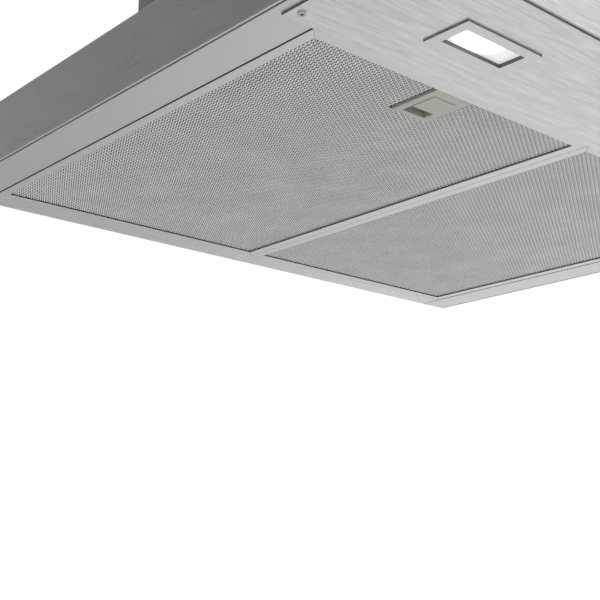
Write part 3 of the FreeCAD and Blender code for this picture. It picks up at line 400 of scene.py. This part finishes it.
def softened(radius, material, *names, cut=None):
    """Shows a copy of each node with rounded edges in its place, less the boxes that are cut."""
    for name in names:
        mesh = nodes[name].data.copy()
        mesh.materials.clear()
        mesh.materials.append(material)
        tidy_mesh(mesh)
        thing = bpy.data.objects.new(f"{name}_soft", mesh)
        bpy.context.scene.collection.objects.link(thing)
        if cut:
            carved(thing, joined("cutter", [box_mesh(low, high) for low, high in cut], material))
            tidy_mesh(thing.data)
        round_edges(thing, radius)
        stands_for(thing, name)


def stands_for(thing, name):
    """Shows the thing in place of the node, on the node's body."""
    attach(thing, BODY_OF[name])
    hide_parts(name)


# ---- filter frames ----------------------------------------------------------------

SHEET = 0.8
FILTER_TOP = 9.2
LIP = 6.0
SEAM = 0.05
RIM_ROUNDING = 0.22
NOSE_SLOT_HALF = 6.3
NOSE_SLOT_LOW = 3.1
NOSE_SLOT_HIGH = 5.3
NOSE_SLOT_DEPTH = 1.5
TAB_SPREAD = 80.0
TAB_HALF = 9.0
TAB_REACH = 6.0
TAB_LOW = 1.1
TAB_HIGH = 1.9


def band(first, count):
    """The faces between a ring of corners and the next ring, which has as many."""
    following = first + count
    return [
        (first + k, first + (k + 1) % count, following + (k + 1) % count, following + k)
        for k in range(count)
    ]


def swept(profile, ends):
    """A closed profile of (inset, height) points swept between two ends, which place each point."""
    count = len(profile)
    vertices = [end(u, v) for end in ends for u, v in profile]
    faces = band(0, count)
    faces.append(tuple(reversed(range(count))))
    faces.append(tuple(range(count, 2 * count)))
    return vertices, faces


def box_mesh(low, high):
    """The points and faces of a box between two corners."""
    xs, ys, zs = zip(low, high)
    vertices = [(x, y, z) for x in xs for y in ys for z in zs]
    faces = [(0, 1, 3, 2), (4, 6, 7, 5), (0, 4, 5, 1), (2, 3, 7, 6), (0, 2, 6, 4), (1, 5, 7, 3)]
    return vertices, faces


def joined(name, parts, material):
    """One object from several lists of points and faces, in millimetres."""
    vertices = []
    faces = []
    for points, loops in parts:
        first = len(vertices)
        vertices.extend(tuple(c * MM for c in point) for point in points)
        faces.extend(tuple(first + i for i in loop) for loop in loops)
    thing = new_object(name, vertices, faces, material)
    work = bmesh.new()
    work.from_mesh(thing.data)
    bmesh.ops.recalc_face_normals(work, faces=work.faces)
    work.to_mesh(thing.data)
    work.free()
    return thing


def carved(thing, cutter):
    """Cuts the cutter out of the thing and removes it."""
    cut = thing.modifiers.new("cut", "BOOLEAN")
    cut.operation = "DIFFERENCE"
    cut.solver = "EXACT"
    cut.object = cutter
    baked(thing)
    bpy.data.objects.remove(cutter)


def filter_rim(side):
    """Four mitred members of folded strip, with the nose's slot in front and two tabs behind."""
    sign = SIDES[side]
    x_low = min(sign * FILTER_INNER, sign * FILTER_OUTER)
    x_high = max(sign * FILTER_INNER, sign * FILTER_OUTER)
    lip_low = FILTER_TOP - SHEET
    profile = [
        (0.0, 0.0),
        (RIM, 0.0),
        (RIM, SHEET),
        (SHEET, SHEET),
        (SHEET, lip_low),
        (LIP, lip_low),
        (LIP, FILTER_TOP),
        (0.0, FILTER_TOP),
    ]
    front = (
        lambda u, v: (x_low + u + SEAM, FILTER_FRONT + u, v),
        lambda u, v: (x_high - u - SEAM, FILTER_FRONT + u, v),
    )
    rear = (
        lambda u, v: (x_high - u - SEAM, FILTER_REAR - u, v),
        lambda u, v: (x_low + u + SEAM, FILTER_REAR - u, v),
    )
    left = (
        lambda u, v: (x_low + u, FILTER_REAR - u - SEAM, v),
        lambda u, v: (x_low + u, FILTER_FRONT + u + SEAM, v),
    )
    right = (
        lambda u, v: (x_high - u, FILTER_FRONT + u + SEAM, v),
        lambda u, v: (x_high - u, FILTER_REAR - u - SEAM, v),
    )
    member = joined(f"filter_{side}_rim_front", [swept(profile, front)], rim_metal)
    slot_low = (LATCH_X[side] - NOSE_SLOT_HALF, FILTER_FRONT - 1, NOSE_SLOT_LOW)
    slot_high = (LATCH_X[side] + NOSE_SLOT_HALF, FILTER_FRONT + NOSE_SLOT_DEPTH, NOSE_SLOT_HIGH)
    carved(member, joined("cutter", [box_mesh(slot_low, slot_high)], rim_metal))
    others = [swept(profile, ends) for ends in (rear, left, right)]
    centre = (x_low + x_high) / 2
    for end in (-1, 1):
        x = centre + end * TAB_SPREAD
        low = (x - TAB_HALF, FILTER_REAR - SHEET, TAB_LOW)
        others.append(box_mesh(low, (x + TAB_HALF, FILTER_REAR + TAB_REACH, TAB_HIGH)))
    rest = joined(f"filter_{side}_rim_others", others, rim_metal)
    for thing in (member, rest):
        round_edges(thing, RIM_ROUNDING)
        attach(thing, f"filter_{side}")
    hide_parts(f"filter_{side}_frame")


# ---- expanded mesh --------------------------------------------------------------

CELL_X = 5.93
CELL_Y = 3.60
STRAND_WIDTH = 1.9
STRAND_GAUGE = 0.3
BOND_LENGTH = 0.2
BOND_TILT = -10.0
WAIST_TILT = 40.0
STRAND_Z = MESH_LOW + 1.05
SIDE_MARGIN = 1.2
END_MARGIN = 1.4
LATCH_MARGIN = 0.6
CORNERS = ((-1, -1), (1, -1), (1, 1), (-1, 1))


def cross_section(width, gauge, tilt):
    """The four corners of a strand's section, turned about the Y axis."""
    angle = math.radians(tilt)
    broad = np.array([math.cos(angle), 0.0, -math.sin(angle)])
    thin = np.array([math.sin(angle), 0.0, math.cos(angle)])
    return np.array([broad * width / 2 * a + thin * gauge / 2 * b for a, b in CORNERS])


def strand(x, column, y_low, y_high):
    """The sections' corners of a waved strand along Y, which meets a neighbour at each wave."""
    angle = math.radians(BOND_TILT)
    reach = CELL_X / 4 - STRAND_WIDTH / 2 * math.cos(angle)
    lift = STRAND_WIDTH / 2 * math.sin(angle)
    bond = cross_section(STRAND_WIDTH, STRAND_GAUGE, BOND_TILT)
    waist = cross_section(STRAND_WIDTH, STRAND_GAUGE, WAIST_TILT)
    sections = []
    for row in range(math.ceil(y_low / (CELL_Y / 2)), math.floor(y_high / (CELL_Y / 2)) + 1):
        up = 1 if (row + column) % 2 else -1
        y = row * CELL_Y / 2
        for step in (-BOND_LENGTH / 2, BOND_LENGTH / 2):
            sections.append(np.array([x + up * reach, y + step, STRAND_Z - up * lift]) + bond)
        sections.append(np.array([x, y + CELL_Y / 4, STRAND_Z]) + waist)
    return sections[:-2]


def expanded_mesh(name, side, y_low, y_high):
    """Waved strands side by side, with the latch's notch left out."""
    x_low = min(SIDES[side] * FILTER_INNER, SIDES[side] * FILTER_OUTER) + SIDE_MARGIN
    x_high = max(SIDES[side] * FILTER_INNER, SIDES[side] * FILTER_OUTER) - SIDE_MARGIN
    columns = int((x_high - x_low) / (CELL_X / 2))
    start = (x_low + x_high - (columns - 1) * CELL_X / 2) / 2
    vertices = []
    faces = []
    for column in range(columns):
        x = start + column * CELL_X / 2
        behind_latch = abs(x - LATCH_X[side]) < LATCH_HALF + CELL_X / 4
        low = max(y_low, LATCH_REAR + LATCH_MARGIN) if behind_latch else y_low
        sections = strand(x, column, low, y_high)
        if len(sections) < 2:
            continue
        first = len(vertices)
        for section in sections:
            vertices.extend((section * MM).tolist())
        last = first + (len(sections) - 1) * len(CORNERS)
        for ring in range(first, last, len(CORNERS)):
            faces.extend(band(ring, len(CORNERS)))
        faces.append((first + 3, first + 2, first + 1, first))
        faces.append((last, last + 1, last + 2, last + 3))
    return new_object(name, vertices, faces, strand_metal)


for side in SIDES:
    filter_rim(side)
    low = FILTER_FRONT + END_MARGIN
    high = FILTER_REAR - END_MARGIN
    third = round((high - low) / 3 / CELL_Y) * CELL_Y
    past_row = CELL_Y / 4  # no row lies here, so rounding can't move one to the next part
    edges = (low, low + third + past_row, low + 2 * third + past_row, high)
    for part, y_low, y_high in zip(("front", "middle", "rear"), edges[:-1], edges[1:]):
        first_row = y_low if part == "front" else y_low - CELL_Y / 2
        strands = expanded_mesh(f"filter_{side}_strands_{part}", side, first_row, y_high)
        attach(strands, f"filter_{side}")
        if part == "front":
            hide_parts(f"filter_{side}_outer_mesh")


# ---- latch springs ------------------------------------------------------------------

WIRE = 0.25
COIL_PITCH = 1.3
COIL_STEPS = 14
WIRE_SIDES = 6


def coil(name, low, high):
    """A round wire wound along Y to fill the box between two corners, in millimetres."""
    centre = (low + high) / 2
    radius = (high.x - low.x) / 2 - WIRE
    length = high.y - low.y - 2 * WIRE
    count = int(length / COIL_PITCH * COIL_STEPS)
    lengthwise = np.array([0.0, 1.0, 0.0])
    vertices = []
    faces = []
    for step in range(count + 1):
        turn = 2 * math.pi * step / COIL_STEPS
        out = np.array([math.cos(turn), 0.0, math.sin(turn)])
        middle = np.array([centre.x, low.y + WIRE + length * step / count, centre.z]) + radius * out
        for corner in range(WIRE_SIDES):
            angle = 2 * math.pi * corner / WIRE_SIDES
            point = middle + WIRE * (math.cos(angle) * out + math.sin(angle) * lengthwise)
            vertices.append((point * MM).tolist())
        if step:
            faces.extend(band((step - 1) * WIRE_SIDES, WIRE_SIDES))
    faces.append(tuple(range(WIRE_SIDES)))
    faces.append(tuple(reversed(range(count * WIRE_SIDES, (count + 1) * WIRE_SIDES))))
    return new_object(name, vertices, faces, spring_steel, smooth=True)


for side in SIDES:
    low, high = (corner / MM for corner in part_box(f"latch_{side}_spring"))
    spring = coil(f"latch_{side}_coil", low, high)
    stands_for(spring, f"latch_{side}_spring")
    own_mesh(spring)


# ---- folded flanges behind the gaps of the canopy's sheets ---------------------------

FLANGE_ROUNDING = 0.1
FLANGES = {
    "fascia_flange": ((-297.0, -499.2, 0.0), (297.0, -497.9, 0.8)),
    "side_flange_left": ((-297.4, -497.6, 1.0), (-296.05, -0.9, 1.8)),
    "side_flange_right": ((296.05, -497.6, 1.0), (297.4, -0.9, 1.8)),
}
for name, (low, high) in FLANGES.items():
    flange = joined(name, [box_mesh(low, high)], light_alloy)
    round_edges(flange, FLANGE_ROUNDING)
    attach(flange, "hood")


# ---- rounded parts ------------------------------------------------------------------

SHEET_ROUNDING = 0.35
SOCKET_HALF = 1.1
SOCKET_FRONT = -411.3
SOCKET_REAR = -409.1
SOCKET_LOW = -2.6
SOCKET_HIGH = -1.0
PLATE_SCREW_X = 282.4
WELL_HALF = LATCH_HALF - 6.0
WELL_FRONT = LATCH_REAR - 8.0
WELL_REAR = LATCH_REAR - 3.6
WELL_HIGH = 6.9

softened(SHEET_ROUNDING, steel_x, "canopy_top", "front_fascia", "front_cover_plate", "underside_strip_rear")
softened(SHEET_ROUNDING, steel_y, "side_panel_left", "side_panel_right")
softened(SHEET_ROUNDING, steel_y, "underside_strip_left", "underside_strip_right")
softened(SHEET_ROUNDING, steel_z_painted_dark, "chimney_lower", "chimney_upper")
softened(0.3, zinc, "rear_panel", "front_rail", "wall_plate", "chimney_bracket", "motor_bracket")
softened(0.5, zinc, "outlet_collar")
sockets = [
    ((x - SOCKET_HALF, SOCKET_FRONT, SOCKET_LOW), (x + SOCKET_HALF, SOCKET_REAR, SOCKET_HIGH))
    for x in (-PLATE_SCREW_X, PLATE_SCREW_X)
]
softened(0.3, screw_steel, "plate_screws", cut=sockets)
softened(0.3, screw_steel, "blower_screws", "chimney_screws")
softened(0.5, black_plastic, "control_housing", "electronics_box", "electronics_cover", "mains_gland")
softened(0.5, black_plastic, "scroll_left", "scroll_right", "flap_left", "flap_right")
softened(0.4, pale_plastic, "terminal_block", "capacitor")
softened(0.8, motor_enamel, "motor")
softened(0.3, button_metal, "button_1", "button_2", "button_3", "button_4", "button_5")
for side in SIDES:
    well_low = (LATCH_X[side] - WELL_HALF, WELL_FRONT, 0.0)
    well_high = (LATCH_X[side] + WELL_HALF, WELL_REAR, WELL_HIGH)
    softened(0.3, latch_plastic, f"latch_{side}_housing", cut=[(well_low, well_high)])
    softened(0.25, latch_plastic, f"latch_{side}_slider")
    softened(0.25, lamp_metal, f"lamp_bezel_{side}")
    softened(0.5, light_alloy, f"lamp_module_{side}")


def repaint(name, material, chosen):
    """Gives the material to the faces of a shown part whose centre and normal are chosen."""
    mesh = bpy.data.objects[name].data
    mesh.materials.append(material)
    for face in mesh.polygons:
        if chosen(face.center / MM, face.normal):
            face.material_index = len(mesh.materials) - 1


# The cover plate's side faces get the near-black metal, as painted shade for the shadow gap along its
# edges.
repaint("front_cover_plate_soft", painted_gap_shade, lambda centre, normal: abs(normal.x) > 0.95)

# Margin round the lens within which the bezel's walls get the near-black painted shade.
LENS_MARGIN = 1.0
# Height up to which the bezel's outer walls get the near-black painted shade.
BEZEL_TOP = 0.2


def beside_lens(point, low, high):
    """Whether a point lies over the lens's box or within the margin round it."""
    return all(low[i] - LENS_MARGIN < point[i] < high[i] + LENS_MARGIN for i in (0, 1))


for side in SIDES:
    bezel = f"lamp_bezel_{side}_soft"
    low, high = (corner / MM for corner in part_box(f"lamp_lens_{side}"))
    # The bezel's walls round the lens are painted near-black, as painted shade of the lens's recess.
    repaint(
        bezel,
        lens_recess_shade,
        lambda centre, normal: abs(normal.z) < 0.5 and beside_lens(centre, low, high),
    )
    # The bezel's low outer walls get the near-black metal, as painted shade for the shadow gap between
    # bezel and plate.
    repaint(
        bezel,
        painted_gap_shade,
        lambda centre, normal: (
            abs(normal.z) < 0.15 and centre.z < BEZEL_TOP and not beside_lens(centre, low, high)
        ),
    )


# ---- stage ------------------------------------------------------------------------


def panel(name, corners, material):
    """A flat sheet between corners in metres."""
    return new_object(name, corners, [tuple(range(len(corners)))], material)


def paint(name, colour):
    """A matt, nearly even paint."""
    m = Nodes(name)
    shade = m.spread(m.noise((2.0,) * 3), 0.985, 1.01)
    m.set(Base_Color=m.tint(colour, shade), Roughness=0.8)
    return m.material


def card(name, corners, start, end, low, high):
    """A card that shows only in reflections; its brightness goes from low at start to high at end."""
    m = Nodes(f"{name}_light")
    coordinates = m.tree.nodes.new("ShaderNodeTexCoord")
    span = Vector(end) - Vector(start)
    product = m.tree.nodes.new("ShaderNodeVectorMath")
    product.operation = "DOT_PRODUCT"
    m.tree.links.new(coordinates.outputs["Object"], product.inputs[0])
    product.inputs[1].default_value = span / span.length
    first = Vector(start).dot(span) / span.length
    strength = m.spread(product.outputs["Value"], low, high, first, first + span.length)
    m.set(
        Base_Color=(0.0, 0.0, 0.0, 1.0),
        Roughness=1.0,
        Emission_Color=(1.0, 1.0, 1.0, 1.0),
        Emission_Strength=strength,
    )
    thing = panel(name, corners, m.material)
    thing.visible_camera = False
    thing.visible_shadow = False
    thing.visible_diffuse = False


FLOOR_Z = -1.9
FLOOR_HALF = 9
CARD_Z = FLOOR_Z + 0.05
CARD_HALF = 8.5
LEFT_X = -2.6
REAR_Y = 8.55
floor = panel(
    "studio_floor",
    [
        (-FLOOR_HALF, -FLOOR_HALF, FLOOR_Z),
        (FLOOR_HALF, -FLOOR_HALF, FLOOR_Z),
        (FLOOR_HALF, FLOOR_HALF, FLOOR_Z),
        (-FLOOR_HALF, FLOOR_HALF, FLOOR_Z),
    ],
    paint("floor_paint", (0.92, 0.92, 0.92)),
)
card(
    "left_card",
    [(LEFT_X, -3.0, 0.2), (LEFT_X, 9.0, 0.2), (LEFT_X, 9.0, 6.0), (LEFT_X, -3.0, 6.0)],
    start=(LEFT_X, 2.0, 0.0),
    end=(LEFT_X, 6.0, 0.0),
    low=0.2,
    high=0.31,
)
# The floor card's dim end is a painted shadow of the hood and wall on the floor, seen only in reflections.
card(
    "floor_card",
    [
        (-CARD_HALF, -0.2, CARD_Z),
        (CARD_HALF, -0.2, CARD_Z),
        (CARD_HALF, 8.5, CARD_Z),
        (-CARD_HALF, 8.5, CARD_Z),
    ],
    start=(2.5, 4.5, 0.0),
    end=(4.1, 2.9, 0.0),
    low=0.53,
    high=0.9,
)
card(
    "rear_wall_card",
    [
        (-CARD_HALF, REAR_Y, CARD_Z),
        (CARD_HALF, REAR_Y, CARD_Z),
        (CARD_HALF, REAR_Y, 1.2),
        (-CARD_HALF, REAR_Y, 1.2),
    ],
    start=(5.2, REAR_Y, 0.0),
    end=(CARD_HALF, REAR_Y, 0.0),
    low=0.4,
    high=1.0,
)

# The world is white to the camera, in reflections and through glass, and dimmer as diffuse light.
world = bpy.data.worlds.new("studio")
bpy.context.scene.world = world
world.use_nodes = True
tree = world.node_tree
tree.nodes.clear()
world_out = tree.nodes.new("ShaderNodeOutputWorld")
soft = tree.nodes.new("ShaderNodeBackground")
soft.inputs["Color"].default_value = (1.0, 1.0, 1.0, 1.0)
soft.inputs["Strength"].default_value = 0.8
white = tree.nodes.new("ShaderNodeBackground")
white.inputs["Color"].default_value = (1.0, 1.0, 1.0, 1.0)
white.inputs["Strength"].default_value = 1.0
path = tree.nodes.new("ShaderNodeLightPath")
seen = tree.nodes.new("ShaderNodeMath")
seen.operation = "MAXIMUM"
tree.links.new(path.outputs["Is Camera Ray"], seen.inputs[0])
tree.links.new(path.outputs["Is Glossy Ray"], seen.inputs[1])
seen_too = tree.nodes.new("ShaderNodeMath")
seen_too.operation = "MAXIMUM"
tree.links.new(seen.outputs[0], seen_too.inputs[0])
tree.links.new(path.outputs["Is Transmission Ray"], seen_too.inputs[1])
blend = tree.nodes.new("ShaderNodeMixShader")
tree.links.new(seen_too.outputs[0], blend.inputs[0])
tree.links.new(soft.outputs[0], blend.inputs[1])
tree.links.new(white.outputs[0], blend.inputs[2])
tree.links.new(blend.outputs[0], world_out.inputs["Surface"])


def soft_box(name, place, target, wide, tall, power):
    """A rectangular light at the place that faces the target and isn't seen in reflections."""
    data = bpy.data.lights.new(name, "AREA")
    data.shape = "RECTANGLE"
    data.size = wide
    data.size_y = tall
    data.energy = power
    light = bpy.data.objects.new(name, data)
    light.location = place
    light.visible_glossy = False
    light.rotation_mode = "QUATERNION"
    light.rotation_quaternion = (Vector(target) - Vector(place)).to_track_quat("-Z", "Y")
    bpy.context.scene.collection.objects.link(light)


soft_box("key_light", (1.6, -2.6, 2.2), (0, -0.2, 0.1), wide=1.8, tall=1.8, power=30.0)
soft_box("fill_light", (-2.2, -1.6, 1.4), (0, -0.2, 0.1), wide=2.2, tall=1.6, power=14.0)
soft_box("back_light", (0.4, 2.4, 1.8), (0, -0.2, 0.2), wide=1.8, tall=1.4, power=16.0)

# ---- camera -------------------------------------------------------------------------

CAMERA_PLACE = (-0.6526, -0.8240, -0.2973)
CAMERA_AIM = (0.6460, 0.7250, 0.2389)

view = bpy.data.cameras.new("photo_view")
view.lens = 67.8
view.sensor_width = 36.0
view.clip_start = 0.02
camera = bpy.data.objects.new("photo_view", view)
camera.location = CAMERA_PLACE
camera.rotation_mode = "QUATERNION"
camera.rotation_quaternion = Vector(CAMERA_AIM).to_track_quat("-Z", "Y")
bpy.context.scene.collection.objects.link(camera)
bpy.context.scene.camera = camera
bpy.context.scene.view_settings.view_transform = "Standard"
